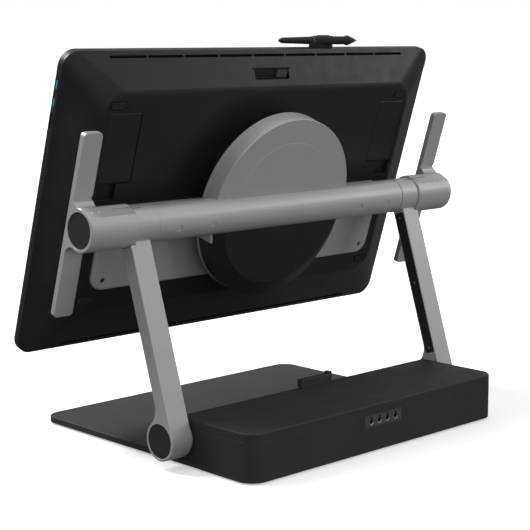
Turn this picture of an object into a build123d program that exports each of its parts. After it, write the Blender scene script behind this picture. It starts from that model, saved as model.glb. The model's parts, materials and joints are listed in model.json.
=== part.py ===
"""Pen display on a weighted stand.

Two arms swing on a cross shaft in the base box.  Their collars carry a centre tube, which tilts the
display, and a drum on the tube lets the display turn in its own plane.  Release levers with lock
sliders sit on the tube's ends.  The origin is on the floor under the middle of the base, +X is to
the right for someone who faces the screen, the screen faces -Y, and +Z is up.  Millimetres.
"""
from build123d import *
from math import asin, atan2, cos, degrees, hypot, radians, sin
import os

os.makedirs("parts", exist_ok=True)

# Clearances
SEAT = 0.02          # between pieces of one body that seat in each other
RUN = 0.05           # radial clearance of a running fit
SEAM = 0.5           # visible joint line between two covers
CLEAR = 1.0          # between bodies that pass each other

# Base
BASE_W = 574.0       # width of the base
BASE_D = 510.6       # front to rear
BASE_R = 28.0        # plan corner radius
FOOT_H = 3.0
FOOT_R = 14.0
FOOT_INSET = 46.0
PLATE_T = 5.0        # steel ground plate, the weight of the stand
DECK_T = 5.5         # moulded deck on top of the plate
DECK_LIP = 3.0       # rim of the deck round the plate
DECK_TOP = FOOT_H + PLATE_T + DECK_T
BOX_D = 160.5        # raised rear box
BOX_H = 77.2
BOX_WALL = 3.0
BOX_TOE = 34.3       # how far the box's front wall leans out at its foot
BOX_SIDE_STEP = 112.0  # from the rear face to where the box's sides stop on the deck
LID_H = 12.7
BOX_FRONT = BASE_D / 2 - BOX_D
DECK_END = BASE_D / 2 - BOX_SIDE_STEP
LID_Z = BOX_H - LID_H

# Swing pivot of the arms
PIVOT_INSET = 154.6  # of the pivot, from the base's rear edge
PIVOT_Y = BASE_D / 2 - PIVOT_INSET
PIVOT_Z = 46.6
SHAFT_R = 9.0
PIVOT_BUSH_R = 12.5
BRACKET_T = 16.0
BRACKET_X = 260.0
CARTRIDGE_L = 118.0
CARTRIDGE_R = 15.0

# Arms
TUBE_Y = 19.0        # axis of the centre tube
TUBE_Z = 363.5
ARM_GAP = 4.9        # between the base's side and the arm
ARM_W = 38.3
ARM_T = 24.3
EYE_R = 30.6
EYE_BLEND_R = 32.0
CAP_R = 26.4
CAP_T = 2.6
COLLAR_R = 29.7
COLLAR_W = 41.4
COLLAR_REACH = 29.6  # of the collar's outer end, past the arm's inner face
ARM_IN = BASE_W / 2 + ARM_GAP
ARM_OUT = ARM_IN + ARM_W
COVER_T = 3.0
ARM_EDGE = 2.4       # arm metal left each side of the inner cover
ARM_SKIN = 5.0

# Centre tube and release levers
TUBE_R = 29.2
TUBE_WALL = 3.5
TILT_SHAFT_R = 14.0
TILT_BUSH_R = 18.0
HOUSING_R = 33.3
HOUSING_L = 88.8
END_CAP_R = 27.7
LEVER_W = 34.3
LEVER_T = 9.0
LEVER_UP = 142.3
LEVER_DOWN = 152.4
LEVER_BLEND_R = 14.0
SLIDER_ANGLE = 60.0  # of the flat on the housings, from level
KEY_SLOT_W = 3.4     # slot across collar and housing, which the lock slider's key bridges
KEY_SLOT_L = 38.0
KEY_SLOT_AT = -4.0   # on the flat, off its middle line towards the screen
KEY_SLOT_DEPTH = 3.6
KEY_SLOT_END = 24.0  # from the collar's inner end to the slot's
PLUG_R = 5.4
PLUG_X = (170.0, 240.0)
COLLAR_OUT = ARM_IN + COLLAR_REACH
COLLAR_IN = COLLAR_OUT - COLLAR_W
TUBE_HALF = COLLAR_IN - 0.6
HOUSING_IN = COLLAR_OUT + 0.6
HOUSING_OUT = HOUSING_IN + HOUSING_L

# Display
TILT = 17.0          # lean of the screen from upright
DISPLAY_W = 821.0
DISPLAY_H = 494.0
DISPLAY_R = 26.0
RIM_T = 8.0          # straight edge band
DISPLAY_T = 46.0     # glass to flat back
COVER_WALL = 2.5
FLAT_SIDE = 67.0     # from the side edge to the flat of the back
FLAT_TOP = 57.3
FLAT_FOOT = 77.5
FLAT_R = 40.0
CREASE_R = 20.0      # rounding where the slopes meet the flat
TUBE_BEHIND = 113.0  # tube axis behind the glass
TUBE_ABOVE = 5.2     # tube axis above the screen's centre
GLASS_T = 2.0
GLASS_EDGE = 3.0
BEZEL_OPENING_W = 752.0
BEZEL_OPENING_H = 436.0
PANEL_W = 715.0
PANEL_H = 410.0

# Drum between tube and display
DRUM_R = 150.3
DRUM_UP = 12.0       # centre of the upper half, above the screen's centre
DRUM_DOWN = -1.0     # centre of the lower half
DRUM_RING = (85.2, 89.3)
DRUM_FACE = 118.0
CONE_FOOT = 114.5
CONE_FACE = 129.0
CONE_R = 132.8
SHELL_T = 2.5
HUB_R = 74.0
SPIGOT_R = 30.0
BRACKET_PLATE_T = 7.5
BRACKET_HALF_W = 319.0
BRACKET_FOOT = -133.5
BRACKET_HEAD = 8.0
BRACKET_R = 25.0
BRACKET_EDGE_R = 5.5
BEARING_FACE = 69.0
FACE_RING_R = 110.0  # shallow raised circle on the disc
FACE_RING_T = 0.3

# Fold-out legs of the display
LEG_X = 304.0
LEG_W = 66.0
LEG_FOOT = 45.0      # free end, above the screen's centre
LEG_HINGE = 157.0
LEG_T = 5.6
LEG_PIN_R = 1.6
LEG_SEAM = 0.4
NOTCH_H = 27.0       # finger notch below the leg's free end

# Pen and its rest
PEN_X = -127.0
PEN_L = 161.0
PEN_YAW = 12.0
PEN_HEIGHT = 11.6    # pen axis above the display's top edge

# Frames worked out from the sizes above
sin_t, cos_t = sin(radians(TILT)), cos(radians(TILT))
SCREEN_Y = TUBE_Y - TUBE_BEHIND * cos_t - TUBE_ABOVE * sin_t
SCREEN_Z = TUBE_Z + TUBE_BEHIND * sin_t - TUBE_ABOVE * cos_t
# The display seen from behind: x to the right, y up its back, z out of its back, 0 at the glass
BACK = Plane(origin=(0, SCREEN_Y, SCREEN_Z), x_dir=(-1, 0, 0), z_dir=(0, cos_t, -sin_t))
TUBE_AT = (TUBE_Y, TUBE_Z)
PIVOT_AT = (PIVOT_Y, PIVOT_Z)


def across(x):
    """Upright plane across the tube at x, with y and z as its own axes."""
    return Plane.YZ.offset(x)


def behind(depth):
    """Plane parallel to the glass, that far behind it."""
    return BACK.offset(depth)


# ---------------------------------------------------------------- base

with BuildPart() as base_plate:
    with BuildSketch(Plane.XY.offset(FOOT_H)):
        RectangleRounded(BASE_W - 2 * DECK_LIP, BASE_D - 2 * DECK_LIP, BASE_R - DECK_LIP)
    extrude(amount=PLATE_T)
base_plate.part.label = "base_plate"
export_step(base_plate.part, "parts/base_plate.step")

with BuildPart() as base_feet:
    with BuildSketch():
        with GridLocations(BASE_W / 2 - FOOT_INSET, BASE_D - 2 * FOOT_INSET, 3, 2):
            Circle(FOOT_R)
    extrude(amount=FOOT_H)
base_feet.part.label = "base_feet"
export_step(base_feet.part, "parts/base_feet.step")

with BuildPart() as base_deck:
    with BuildSketch(Plane.XY.offset(FOOT_H + SEAM)):
        RectangleRounded(BASE_W, BASE_D, BASE_R)
        with Locations((0, DECK_END + BASE_D / 2)):
            Rectangle(BASE_W, BASE_D, mode=Mode.SUBTRACT)
    extrude(amount=DECK_TOP - FOOT_H - SEAM)
    fillet(base_deck.edges().group_by(Axis.Z)[-1].group_by(Axis.Y)[:-1], 1.6)
    with BuildSketch(Plane.XY.offset(FOOT_H)):
        RectangleRounded(
            BASE_W - 2 * DECK_LIP + 2 * SEAT, BASE_D - 2 * DECK_LIP + 2 * SEAT, BASE_R - DECK_LIP
        )
    extrude(amount=PLATE_T, mode=Mode.SUBTRACT)
    with BuildSketch(Plane.XY.offset(FOOT_H)):
        with Locations((BRACKET_X + BRACKET_T / 2, DECK_END), (-BRACKET_X - BRACKET_T / 2, DECK_END)):
            Rectangle(BRACKET_T + 2 * CLEAR, 2 * (DECK_END - BOX_FRONT + BOX_TOE - BOX_WALL - CLEAR))
    extrude(amount=DECK_TOP, mode=Mode.SUBTRACT)
base_deck.part.label = "base_deck"
export_step(base_deck.part, "parts/base_deck.step")


def box_blank(wall, floor, top_round=0.0):
    """The raised box as a solid, drawn in by a wall, down to a floor height."""
    slope = BOX_TOE / (BOX_H - DECK_TOP)
    lean = hypot(1, slope) * wall
    top = BOX_H - wall
    toe_z = DECK_TOP + SEAM if wall == 0 else floor
    front_top = BOX_FRONT - slope * wall + lean
    front_toe = front_top - slope * (top - toe_z)
    rear = BASE_D / 2 - wall
    step = DECK_END + SEAM + wall
    with BuildPart() as blank:
        with BuildSketch(Plane.YZ):
            Polygon(
                (front_toe, toe_z), (front_top, top), (rear, top),
                (rear, floor), (step, floor), (step, toe_z), align=None,
            )
        extrude(amount=BASE_W / 2 - wall, both=True)
        fillet(blank.edges().filter_by(Axis.Z).group_by(Axis.Y)[-1], BASE_R - wall)
        if top_round:
            fillet(blank.edges().group_by(Axis.Z)[-1], top_round)
    return blank.part


def front_inside(z):
    """Inner face of the box's leaning front wall at a height."""
    slope = BOX_TOE / (BOX_H - DECK_TOP)
    return BOX_FRONT - slope * (BOX_H - z) + hypot(1, slope) * BOX_WALL


box_outside = box_blank(0, FOOT_H, top_round=2.4)
box_inside = box_blank(BOX_WALL, 0)

GROMMET_W, GROMMET_H, GROMMET_Z, GROMMET_T = 85.8, 18.8, 52.0, 3.6
KEYHOLE_PITCH, KEYHOLE_R, KEYHOLE_SLOT, KEYHOLE_DROP = 19.0, 4.2, 3.4, 2.4

with BuildPart() as box_body:
    add(box_outside)
    split(bisect_by=Plane.XY.offset(LID_Z - SEAM), keep=Keep.BOTTOM)
    add(box_inside, mode=Mode.SUBTRACT)
    with BuildSketch(Plane.YZ):
        with Locations(PIVOT_AT):
            Circle(PIVOT_BUSH_R)
    extrude(amount=BASE_W, both=True, mode=Mode.SUBTRACT)
    with BuildSketch(Plane.XZ.offset(-BASE_D / 2)):
        with Locations((0, GROMMET_Z)):
            Rectangle(GROMMET_W, GROMMET_H)
    extrude(amount=2 * BOX_WALL, both=True, mode=Mode.SUBTRACT)
box_body.part.label = "box_body"
export_step(box_body.part, "parts/box_body.step")

with BuildPart() as box_lid:
    add(box_outside)
    split(bisect_by=Plane.XY.offset(LID_Z), keep=Keep.TOP)
    add(box_inside, mode=Mode.SUBTRACT)
box_lid.part.label = "box_lid"
export_step(box_lid.part, "parts/box_lid.step")

with BuildPart() as grommet_plate:
    with BuildSketch(Plane.XZ.offset(-BASE_D / 2 + 0.4)):
        with Locations((0, GROMMET_Z)):
            Rectangle(GROMMET_W - 2 * SEAT, GROMMET_H - 2 * SEAT)
        with Locations((0, GROMMET_Z - KEYHOLE_DROP)):
            with GridLocations(KEYHOLE_PITCH, 1, 4, 1):
                Circle(KEYHOLE_R, mode=Mode.SUBTRACT)
        with Locations((0, GROMMET_Z + KEYHOLE_DROP)):
            with GridLocations(KEYHOLE_PITCH, 1, 4, 1):
                Rectangle(KEYHOLE_SLOT, 2 * KEYHOLE_DROP + KEYHOLE_R, mode=Mode.SUBTRACT)
    extrude(amount=GROMMET_T)
grommet_plate.part.label = "grommet_plate"
export_step(grommet_plate.part, "parts/grommet_plate.step")

BLOCK_W, BLOCK_D, BLOCK_H, BLOCK_X = 72.0, 11.5, 15.0, -3.0
TAB_W, TAB_H = 9.0, 3.6    # raised end of the block

with BuildPart() as rest_block:
    with BuildSketch(Plane.XY.offset(BOX_H)):
        with Locations((BLOCK_X, BOX_FRONT + BLOCK_D / 2)):
            RectangleRounded(BLOCK_W, BLOCK_D, 2.5)
    extrude(amount=BLOCK_H)
    fillet(rest_block.edges().group_by(Axis.Z)[-1], 1.5)
    with BuildSketch(Plane.XY.offset(BOX_H + BLOCK_H / 2)):
        with Locations((BLOCK_X - (BLOCK_W - TAB_W) / 2, BOX_FRONT + BLOCK_D / 2)):
            RectangleRounded(TAB_W, BLOCK_D, 2.5)
    extrude(amount=BLOCK_H / 2 + TAB_H)
    with BuildSketch(Plane.XY.offset(BOX_H)):
        with Locations((BLOCK_X, BOX_FRONT + 1)):
            Rectangle(BLOCK_W, 7)
    extrude(amount=2.6, mode=Mode.SUBTRACT)
rest_block.part.label = "rest_block"
export_step(rest_block.part, "parts/rest_block.step")

with BuildPart() as pivot_brackets:
    with BuildSketch(across(BRACKET_X)):
        foot, head = FOOT_H + PLATE_T, LID_Z - 4
        toe = front_inside(head) - (head - 32) * BOX_TOE / (BOX_H - DECK_TOP) + CLEAR
        Polygon(
            (toe, foot), (toe, 32), (front_inside(head) + CLEAR, head),
            (DECK_END - CLEAR, head), (DECK_END - CLEAR, foot), align=None,
        )
        with Locations(PIVOT_AT):
            Circle(PIVOT_BUSH_R + SEAT, mode=Mode.SUBTRACT)
    extrude(amount=BRACKET_T)
    mirror(about=Plane.YZ)
pivot_brackets.part.label = "pivot_brackets"
export_step(pivot_brackets.part, "parts/pivot_brackets.step")

with BuildPart() as pivot_bushes:
    with BuildSketch(across(BRACKET_X)):
        with Locations(PIVOT_AT):
            Circle(PIVOT_BUSH_R)
            Circle(SHAFT_R + RUN, mode=Mode.SUBTRACT)
    extrude(amount=BRACKET_T)
    mirror(about=Plane.YZ)
pivot_bushes.part.label = "pivot_bushes"
export_step(pivot_bushes.part, "parts/pivot_bushes.step")

with BuildPart() as spring_cartridges:
    with BuildSketch(across(BRACKET_X - CARTRIDGE_L)):
        with Locations(PIVOT_AT):
            Circle(CARTRIDGE_R)
            Circle(SHAFT_R + CLEAR, mode=Mode.SUBTRACT)
    extrude(amount=CARTRIDGE_L)
    mirror(about=Plane.YZ)
spring_cartridges.part.label = "spring_cartridges"
export_step(spring_cartridges.part, "parts/spring_cartridges.step")

# ---------------------------------------------------------------- arms

ARM_L = hypot(PIVOT_Y - TUBE_Y, TUBE_Z - PIVOT_Z)
EYE_SHIFT = EYE_R - ARM_T / 2      # the rear face of the arm runs into the eye's rim
LEAN = atan2(PIVOT_Y - TUBE_Y, TUBE_Z - PIVOT_Z) + asin(EYE_SHIFT / ARM_L)
ARM_RUN = (ARM_L**2 - EYE_SHIFT**2) ** 0.5
EYE_FRONT = ARM_RUN - (EYE_R**2 - (EYE_SHIFT - ARM_T / 2) ** 2) ** 0.5
COVER_TOP = COLLAR_R + 3.0
COVER_END = ARM_RUN - EYE_R - 8.0
SCREW_R = 2.2


def along_arm(x):
    """Plane at x with its own x down the arm from the tube, and y to the arm's rear."""
    return Plane(origin=(x, TUBE_Y, TUBE_Z), x_dir=(0, sin(LEAN), -cos(LEAN)), z_dir=(1, 0, 0))


def on_flat(reach):
    """Plane parallel to the housing's flat, reach from the tube axis, with x along the tube."""
    a = radians(SLIDER_ANGLE)
    return Plane(
        origin=(0, TUBE_Y + reach * cos(a), TUBE_Z + reach * sin(a)),
        x_dir=(1, 0, 0), z_dir=(0, cos(a), sin(a)),
    )


with BuildPart() as cross_shaft:
    with BuildSketch(across(-ARM_OUT + 12)):
        with Locations(PIVOT_AT):
            Circle(SHAFT_R)
    extrude(amount=2 * (ARM_OUT - 12))
    chamfer(cross_shaft.edges(), 0.8)
cross_shaft.part.label = "cross_shaft"
export_step(cross_shaft.part, "parts/cross_shaft.step")

with BuildPart() as arm:
    with BuildSketch(along_arm(ARM_IN)) as arm_side:
        with Locations((ARM_RUN / 2, 0)):
            Rectangle(ARM_RUN, ARM_T)
        with Locations((ARM_RUN, -EYE_SHIFT)):
            Circle(EYE_R)
        fillet(arm_side.vertices().sort_by_distance(Vertex(EYE_FRONT, -ARM_T / 2, 0))[0], EYE_BLEND_R)
    extrude(amount=ARM_W)
    fillet(arm.edges().filter_by(Axis((0, 0, 0), (0, sin(LEAN), -cos(LEAN)))), 1.4)
    with BuildSketch(across(BASE_W / 2 + CLEAR)):
        with Locations(PIVOT_AT):
            Circle(EYE_R - 3.5)
    extrude(amount=ARM_GAP)
    with BuildSketch(across(COLLAR_IN)):
        with Locations(TUBE_AT):
            Circle(COLLAR_R)
    extrude(amount=COLLAR_W)
    with BuildSketch(across(COLLAR_OUT)):
        with Locations(TUBE_AT):
            Circle(HOUSING_R + CLEAR)
    extrude(amount=ARM_W, mode=Mode.SUBTRACT)
    with BuildSketch(across(COLLAR_IN)):
        with Locations(TUBE_AT):
            Circle(TILT_BUSH_R + SEAT)
    extrude(amount=COLLAR_W, mode=Mode.SUBTRACT)
    with BuildSketch(across(0)):
        with Locations(PIVOT_AT):
            Circle(SHAFT_R + SEAT)
    extrude(amount=ARM_OUT - 12, mode=Mode.SUBTRACT)
    with BuildSketch(across(ARM_OUT - CAP_T - 0.4)):
        with Locations(PIVOT_AT):
            Circle(CAP_R + SEAT)
    extrude(amount=ARM_W, mode=Mode.SUBTRACT)
    with BuildSketch(on_flat(COLLAR_R - KEY_SLOT_DEPTH)):
        with Locations(((COLLAR_IN + COLLAR_OUT) / 2 + KEY_SLOT_END, KEY_SLOT_AT)):
            Rectangle(COLLAR_W, KEY_SLOT_W)
    extrude(amount=2 * KEY_SLOT_DEPTH, mode=Mode.SUBTRACT)
    with BuildSketch(along_arm(ARM_IN)):
        with Locations(((COVER_TOP + COVER_END) / 2, 0)):
            RectangleRounded(COVER_END - COVER_TOP, ARM_T - 2 * ARM_EDGE, 3)
    extrude(amount=COVER_T, mode=Mode.SUBTRACT)
    with BuildSketch(along_arm(ARM_IN)):
        with Locations(((COVER_TOP + COVER_END) / 2, 0)):
            Rectangle(COVER_END - COVER_TOP - 36, ARM_T - 2 * ARM_SKIN)
    extrude(amount=ARM_W - ARM_SKIN, mode=Mode.SUBTRACT)

with BuildPart() as arm_covers:
    with BuildSketch(along_arm(ARM_IN)):
        with Locations(((COVER_TOP + COVER_END) / 2, 0)):
            RectangleRounded(COVER_END - COVER_TOP - 2 * SEAT, ARM_T - 2 * ARM_EDGE - 2 * SEAT, 3)
            with GridLocations((COVER_END - COVER_TOP - 18) / 2, 1, 3, 1):
                Circle(SCREW_R + SEAT, mode=Mode.SUBTRACT)
    extrude(amount=COVER_T)
    mirror(about=Plane.YZ)
arm_covers.part.label = "arm_covers"
export_step(arm_covers.part, "parts/arm_covers.step")

for side, sign in (("right", 1), ("left", -1)):
    with BuildPart() as sided:
        if sign > 0:
            add(arm.part)
        else:
            mirror(arm.part, about=Plane.YZ)
    sided.part.label = f"arm_{side}"
    export_step(sided.part, f"parts/arm_{side}.step")

with BuildPart() as arm_cover_screws:
    with BuildSketch(along_arm(ARM_IN + 0.3)):
        with Locations(((COVER_TOP + COVER_END) / 2, 0)):
            with GridLocations((COVER_END - COVER_TOP - 18) / 2, 1, 3, 1):
                Circle(SCREW_R)
    extrude(amount=COVER_T - 0.3)
    with BuildSketch(along_arm(ARM_IN + 0.3)):
        with Locations(((COVER_TOP + COVER_END) / 2, 0)):
            with GridLocations((COVER_END - COVER_TOP - 18) / 2, 1, 3, 1):
                RegularPolygon(1.1, 6)
    extrude(amount=1.2, mode=Mode.SUBTRACT)
    mirror(about=Plane.YZ)
arm_cover_screws.part.label = "arm_cover_screws"
export_step(arm_cover_screws.part, "parts/arm_cover_screws.step")

with BuildPart() as pivot_caps:
    with BuildSketch(across(ARM_OUT - CAP_T - 0.4)):
        with Locations(PIVOT_AT):
            Circle(CAP_R)
    extrude(amount=CAP_T)
    chamfer(pivot_caps.edges().group_by(Axis.X)[-1], 0.4)
    mirror(about=Plane.YZ)
pivot_caps.part.label = "pivot_caps"
export_step(pivot_caps.part, "parts/pivot_caps.step")

with BuildPart() as tilt_bushes:
    with BuildSketch(across(COLLAR_IN)):
        with Locations(TUBE_AT):
            Circle(TILT_BUSH_R)
            Circle(TILT_SHAFT_R + RUN, mode=Mode.SUBTRACT)
    extrude(amount=COLLAR_W)
    mirror(about=Plane.YZ)
tilt_bushes.part.label = "tilt_bushes"
export_step(tilt_bushes.part, "parts/tilt_bushes.step")

# ---------------------------------------------------------------- centre tube


def on_tube(x, reach):
    """Plane on the tube's rear side at x, square to the display's back, reach from the axis."""
    return Plane(
        origin=(x, TUBE_Y + reach * cos_t, TUBE_Z - reach * sin_t),
        x_dir=(-1, 0, 0), z_dir=(0, cos_t, -sin_t),
    )


with BuildPart() as centre_tube:
    with BuildSketch(across(-TUBE_HALF)):
        with Locations(TUBE_AT):
            Circle(TUBE_R)
    extrude(amount=2 * TUBE_HALF)
    chamfer(centre_tube.edges(), 0.6)
    with BuildSketch(across(-TUBE_HALF)):
        with Locations(TUBE_AT):
            Circle(TUBE_R - TUBE_WALL)
    extrude(amount=2 * TUBE_HALF, mode=Mode.SUBTRACT)
    with BuildSketch(on_tube(0, 0)):
        with Locations(*[(sign * x, 0) for sign in (1, -1) for x in PLUG_X]):
            Circle(PLUG_R + SEAT)
    extrude(amount=2 * TUBE_R, mode=Mode.SUBTRACT)
centre_tube.part.label = "centre_tube"
export_step(centre_tube.part, "parts/centre_tube.step")

with BuildPart() as tube_plugs:
    with BuildSketch(on_tube(0, TUBE_R - TUBE_WALL - 2)):
        with Locations(*[(sign * x, 0) for sign in (1, -1) for x in PLUG_X]):
            Circle(PLUG_R)
    extrude(amount=TUBE_WALL + 1.0)
tube_plugs.part.label = "tube_plugs"
export_step(tube_plugs.part, "parts/tube_plugs.step")

TILT_PLUG_L = 26.0   # of the tilt shafts inside the tube's ends
NUT_L = 9.0

with BuildPart() as tilt_shafts:
    with BuildSketch(across(TUBE_HALF - TILT_PLUG_L)):
        with Locations(TUBE_AT):
            Circle(TUBE_R - TUBE_WALL - SEAT)
    extrude(amount=TILT_PLUG_L)
    with BuildSketch(across(TUBE_HALF)):
        with Locations(TUBE_AT):
            Circle(TILT_SHAFT_R)
    extrude(amount=HOUSING_OUT - 12 - TUBE_HALF)
    with BuildSketch(across(HOUSING_IN + 24)):
        with Locations(TUBE_AT):
            RegularPolygon(21, 6)
    extrude(amount=NUT_L)
    mirror(about=Plane.YZ)
tilt_shafts.part.label = "tilt_shafts"
export_step(tilt_shafts.part, "parts/tilt_shafts.step")

# ---------------------------------------------------------------- release levers and lock sliders

SLIDER_L, SLIDER_W, SLIDER_T = 42.0, 11.0, 0.8
SLIDER_IN = 6.5      # from the housing's inner end
SLIDER_AT = 2.4      # on the flat, off its middle line away from the screen
KEY_L, KEY_W = 16.0, 3.0   # the slider's key, which runs in the slot
KEY_IN = 8.0
KEY_SUNK = 1.0       # of the key, below the flat
KEY_RIB_W = 0.5      # joins the key to the slider's plate
FLAT_AT = 30.9       # of the housing's flat, from the axis
BEARING_L = 21.0
CAVITY_R = 26.0


def side_on(x):
    """Plane at x with its own x square to the display's back and y up the back, on the tube axis."""
    return Plane(origin=(x, TUBE_Y, TUBE_Z), x_dir=(0, cos_t, -sin_t), z_dir=(1, 0, 0))


LEVER_REAR = -(HOUSING_R - LEVER_T - 0.9)   # rear face of the lever's blade, from the axis
blend_y = (HOUSING_R**2 - LEVER_REAR**2) ** 0.5

with BuildPart() as lever:
    with BuildSketch(across(HOUSING_IN)):
        with Locations(TUBE_AT):
            Circle(HOUSING_R)
    extrude(amount=HOUSING_L)
    chamfer(lever.edges().group_by(Axis.X)[0], 1.6)
    chamfer(lever.edges().group_by(Axis.X)[-1], 1.2)
    with BuildSketch(side_on(HOUSING_OUT - LEVER_W)) as blade:
        Circle(HOUSING_R - 1.2)
        with Locations((LEVER_REAR - LEVER_T / 2, (LEVER_UP - LEVER_DOWN) / 2)):
            Rectangle(LEVER_T, LEVER_UP + LEVER_DOWN)
        for corner in (1, -1):
            point = Vertex(LEVER_REAR, corner * blend_y, 0)
            fillet(blade.vertices().sort_by_distance(point)[0], LEVER_BLEND_R)
    extrude(amount=LEVER_W)
    ends = lever.edges().filter_by(Axis((0, 0, 0), (0, cos_t, -sin_t)))
    fillet(ends, 6.0)
    with BuildSketch(on_flat(FLAT_AT)):
        with Locations(((HOUSING_IN + HOUSING_OUT) / 2, 0)):
            Rectangle(HOUSING_L, 2 * HOUSING_R)
    extrude(amount=HOUSING_R, mode=Mode.SUBTRACT)
    with BuildSketch(on_flat(FLAT_AT)):
        with Locations((HOUSING_IN + KEY_SLOT_L / 2, KEY_SLOT_AT)):
            Rectangle(KEY_SLOT_L, KEY_SLOT_W)
    extrude(amount=-KEY_SLOT_DEPTH, mode=Mode.SUBTRACT)
    with BuildSketch(across(HOUSING_IN)):
        with Locations(TUBE_AT):
            Circle(TILT_SHAFT_R + RUN)
    extrude(amount=BEARING_L, mode=Mode.SUBTRACT)
    with BuildSketch(across(HOUSING_IN + BEARING_L)):
        with Locations(TUBE_AT):
            Circle(CAVITY_R)
    extrude(amount=HOUSING_L, mode=Mode.SUBTRACT)
    with BuildSketch(across(HOUSING_OUT - 5)):
        with Locations(TUBE_AT):
            Circle(END_CAP_R + SEAT)
    extrude(amount=HOUSING_L, mode=Mode.SUBTRACT)

with BuildPart() as end_cap:
    with BuildSketch(across(HOUSING_OUT - 5)):
        with Locations(TUBE_AT):
            Circle(END_CAP_R)
    extrude(amount=4)
    chamfer(end_cap.edges().group_by(Axis.X)[-1], 0.5)

with BuildPart() as lock_slider:
    with BuildSketch(on_flat(FLAT_AT + SEAT)):
        with Locations((HOUSING_IN + SLIDER_IN + SLIDER_L / 2, SLIDER_AT)):
            RectangleRounded(SLIDER_L, SLIDER_W, 1.5)
    extrude(amount=SLIDER_T)
    chamfer(lock_slider.edges().group_by(Axis((0, TUBE_Y, TUBE_Z), on_flat(1).z_dir))[-1], 0.3)
    with BuildSketch(on_flat(FLAT_AT - KEY_SUNK)):
        with Locations((HOUSING_IN + KEY_IN + KEY_L / 2, KEY_SLOT_AT)):
            Rectangle(KEY_L, KEY_W)
    extrude(amount=-KEY_SLOT_DEPTH + 1.4 * KEY_SUNK)
    with BuildSketch(on_flat(FLAT_AT + SLIDER_T / 2)):
        with Locations((HOUSING_IN + KEY_IN + KEY_L / 2, KEY_SLOT_AT + (KEY_W - KEY_RIB_W) / 2)):
            Rectangle(KEY_L, KEY_RIB_W)
    extrude(amount=-SLIDER_T / 2 - 1.4 * KEY_SUNK)

for side, sign in (("right", 1), ("left", -1)):
    for stem, piece in (("lever", lever), ("end_cap", end_cap), ("lock_slider", lock_slider)):
        with BuildPart() as sided:
            if sign > 0:
                add(piece.part)
            else:
                mirror(piece.part, about=Plane.YZ)
        sided.part.label = f"{stem}_{side}"
        export_step(sided.part, f"parts/{stem}_{side}.step")

# ---------------------------------------------------------------- drum on the tube

TUBE_LOCAL_Y = TUBE_ABOVE          # the tube axis on the display's back


def drum_outline(radius):
    """Two half circles with straight sides between their centres, on the current sketch."""
    with Locations((0, DRUM_UP)):
        Circle(radius)
    with Locations((0, DRUM_DOWN)):
        Circle(radius)
    with Locations((0, (DRUM_UP + DRUM_DOWN) / 2)):
        Rectangle(2 * radius, DRUM_UP - DRUM_DOWN)


with BuildPart() as tube_space:
    with BuildSketch(across(-2 * DRUM_R)):
        with Locations(TUBE_AT):
            Circle(TUBE_R + SEAT)
    extrude(amount=4 * DRUM_R)

with BuildPart() as drum_ring:
    with BuildSketch(behind(DRUM_RING[0])):
        drum_outline(DRUM_R + 1)
        with Locations((0, DRUM_UP)):
            Circle(HUB_R, mode=Mode.SUBTRACT)
    extrude(amount=DRUM_RING[1] - DRUM_RING[0])
    add(tube_space.part, mode=Mode.SUBTRACT)
drum_ring.part.label = "drum_ring"
export_step(drum_ring.part, "parts/drum_ring.step")

CLAMP_W, CLAMP_H = 16.0, 84.0      # silver side pieces that close the drum round the tube

with BuildPart() as side_clamps:
    with BuildSketch(behind(DRUM_RING[1])):
        drum_outline(DRUM_R)
        with Locations((0, TUBE_LOCAL_Y - 4)):
            Rectangle(2 * DRUM_R - 2 * CLAMP_W, 4 * DRUM_R, mode=Mode.SUBTRACT)
            Rectangle(4 * DRUM_R, CLAMP_H, mode=Mode.INTERSECT)
    extrude(amount=DRUM_FACE - DRUM_RING[1] - 0.4)
    add(tube_space.part, mode=Mode.SUBTRACT)
side_clamps.part.label = "side_clamps"
export_step(side_clamps.part, "parts/side_clamps.step")

with BuildPart() as clamp_space:
    with BuildSketch(behind(DRUM_RING[1] - 1)):
        with Locations((0, TUBE_LOCAL_Y - 4)):
            with GridLocations(2 * DRUM_R + 20, 1, 2, 1):
                Rectangle(2 * CLAMP_W + 20 + SEAM, CLAMP_H + 2 * SEAM)
    extrude(amount=DRUM_FACE - DRUM_RING[1] + 1)

with BuildPart() as disc_cover:
    with BuildSketch(behind(DRUM_RING[1])):
        drum_outline(DRUM_R)
        with Locations((0, TUBE_LOCAL_Y - 2 * DRUM_R)):
            Rectangle(4 * DRUM_R, 4 * DRUM_R, mode=Mode.SUBTRACT)
    extrude(amount=DRUM_FACE - DRUM_RING[1])
    fillet(disc_cover.edges().group_by(Axis(BACK.origin, BACK.z_dir))[-1].filter_by(GeomType.CIRCLE), 1.2)
    with BuildSketch(behind(DRUM_RING[1])):
        drum_outline(DRUM_R - SHELL_T)
    extrude(amount=DRUM_FACE - DRUM_RING[1] - SHELL_T, mode=Mode.SUBTRACT)
    with BuildSketch(behind(DRUM_FACE)):
        with Locations((0, DRUM_UP)):
            Circle(FACE_RING_R)
        with Locations((0, TUBE_LOCAL_Y - 2 * DRUM_R)):
            Rectangle(4 * DRUM_R, 4 * DRUM_R, mode=Mode.SUBTRACT)
    extrude(amount=FACE_RING_T)
    add(tube_space.part, mode=Mode.SUBTRACT)
    add(clamp_space.part, mode=Mode.SUBTRACT)
disc_cover.part.label = "disc_cover"
export_step(disc_cover.part, "parts/disc_cover.step")


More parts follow.
